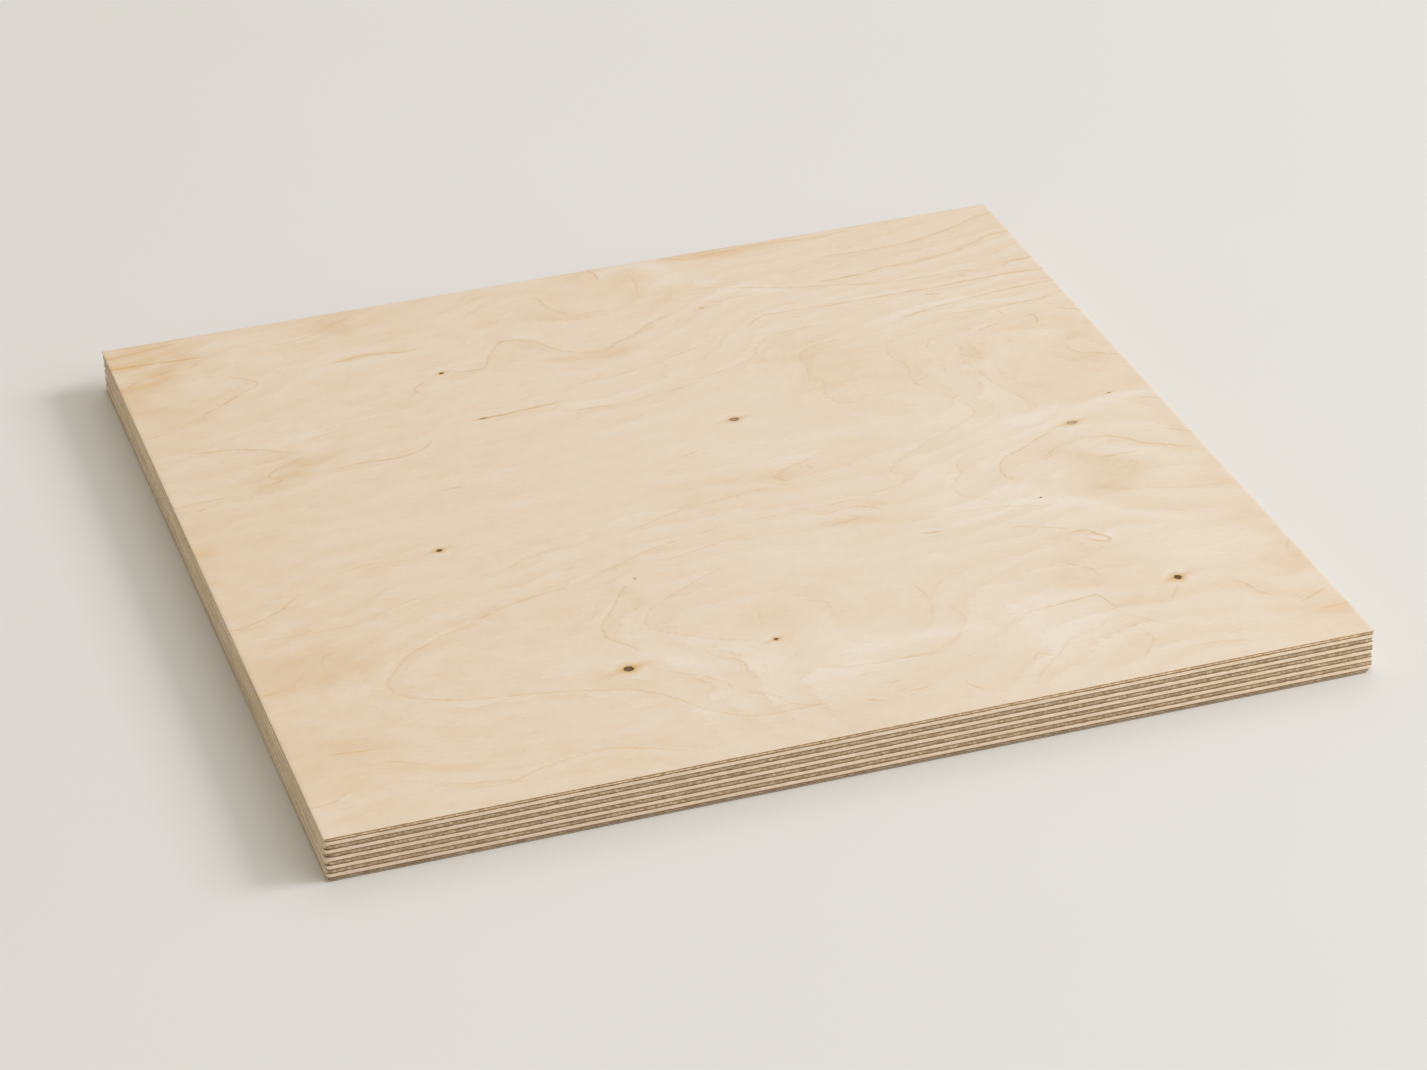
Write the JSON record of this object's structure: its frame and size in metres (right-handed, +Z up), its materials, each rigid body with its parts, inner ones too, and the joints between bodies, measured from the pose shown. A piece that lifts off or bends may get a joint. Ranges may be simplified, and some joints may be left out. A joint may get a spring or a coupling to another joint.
{
  "type": "plywood sheet",
  "caption": "Square panel of thin-faced birch plywood, cross-laid veneers with banded sawn edges, lying flat.",
  "frame": {"origin": "middle of the underside", "axes": "+X along the grain of the face veneers, +Y across it in the plane of the sheet, +Z up through the thickness"},
  "size_m": [0.4, 0.4, 0.018],
  "materials": {
    "face_veneer": "sanded, unfinished rotary-cut birch veneer",
    "cross_ply": "sawn veneer edge, end grain on the front and back edges",
    "long_ply": "sawn veneer edge, long grain on the front and back edges"
  },
  "bodies": {
    "root": {"back_veneer": "face_veneer", "cross_ply_1": "cross_ply", "long_ply_1": "long_ply", "cross_ply_2": "cross_ply", "long_ply_2": "long_ply", "cross_ply_3": "cross_ply", "long_ply_3": "long_ply", "cross_ply_4": "cross_ply", "long_ply_4": "long_ply", "cross_ply_5": "cross_ply", "long_ply_5": "long_ply", "cross_ply_6": "cross_ply", "face_veneer": "face_veneer"}
  },
  "joints": []
}
